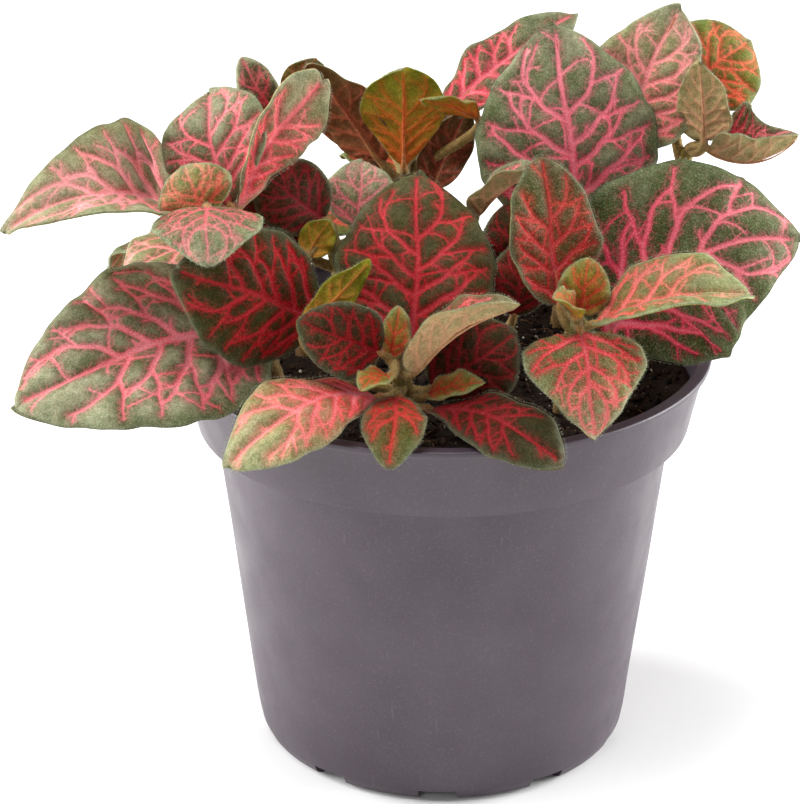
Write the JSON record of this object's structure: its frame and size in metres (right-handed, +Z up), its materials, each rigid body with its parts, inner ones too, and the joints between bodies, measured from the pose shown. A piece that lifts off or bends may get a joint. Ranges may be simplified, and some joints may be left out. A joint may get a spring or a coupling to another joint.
{
  "type": "potted nerve plant",
  "caption": "Bushy nerve plant with net-veined oval leaves on short fleshy stems, standing in the soil of a round nursery pot.",
  "frame": {"origin": "on the pot's axis, at the flat face it rests on", "axes": "+Z up, -Y towards the side seen in the picture, +X to the right of that view"},
  "size_m": [0.1712, 0.1489, 0.1674],
  "materials": {
    "pot": "satin dark grey moulded plastic",
    "soil": "dark loose potting soil with pale grains",
    "leaf": "velvety dark green to maroon leaves with pink veins"
  },
  "bodies": {
    "root": {"pot": "pot", "soil": "soil", "shoot_left": "leaf", "shoot_front": "leaf", "shoot_right": "leaf", "shoot_middle_right": "leaf", "shoot_middle_left": "leaf", "shoot_centre": "leaf", "shoot_back_left": "leaf", "shoot_far_right": "leaf", "shoot_rear_left": "leaf", "shoot_rear_right": "leaf", "shoot_rear_centre": "leaf"}
  },
  "joints": []
}
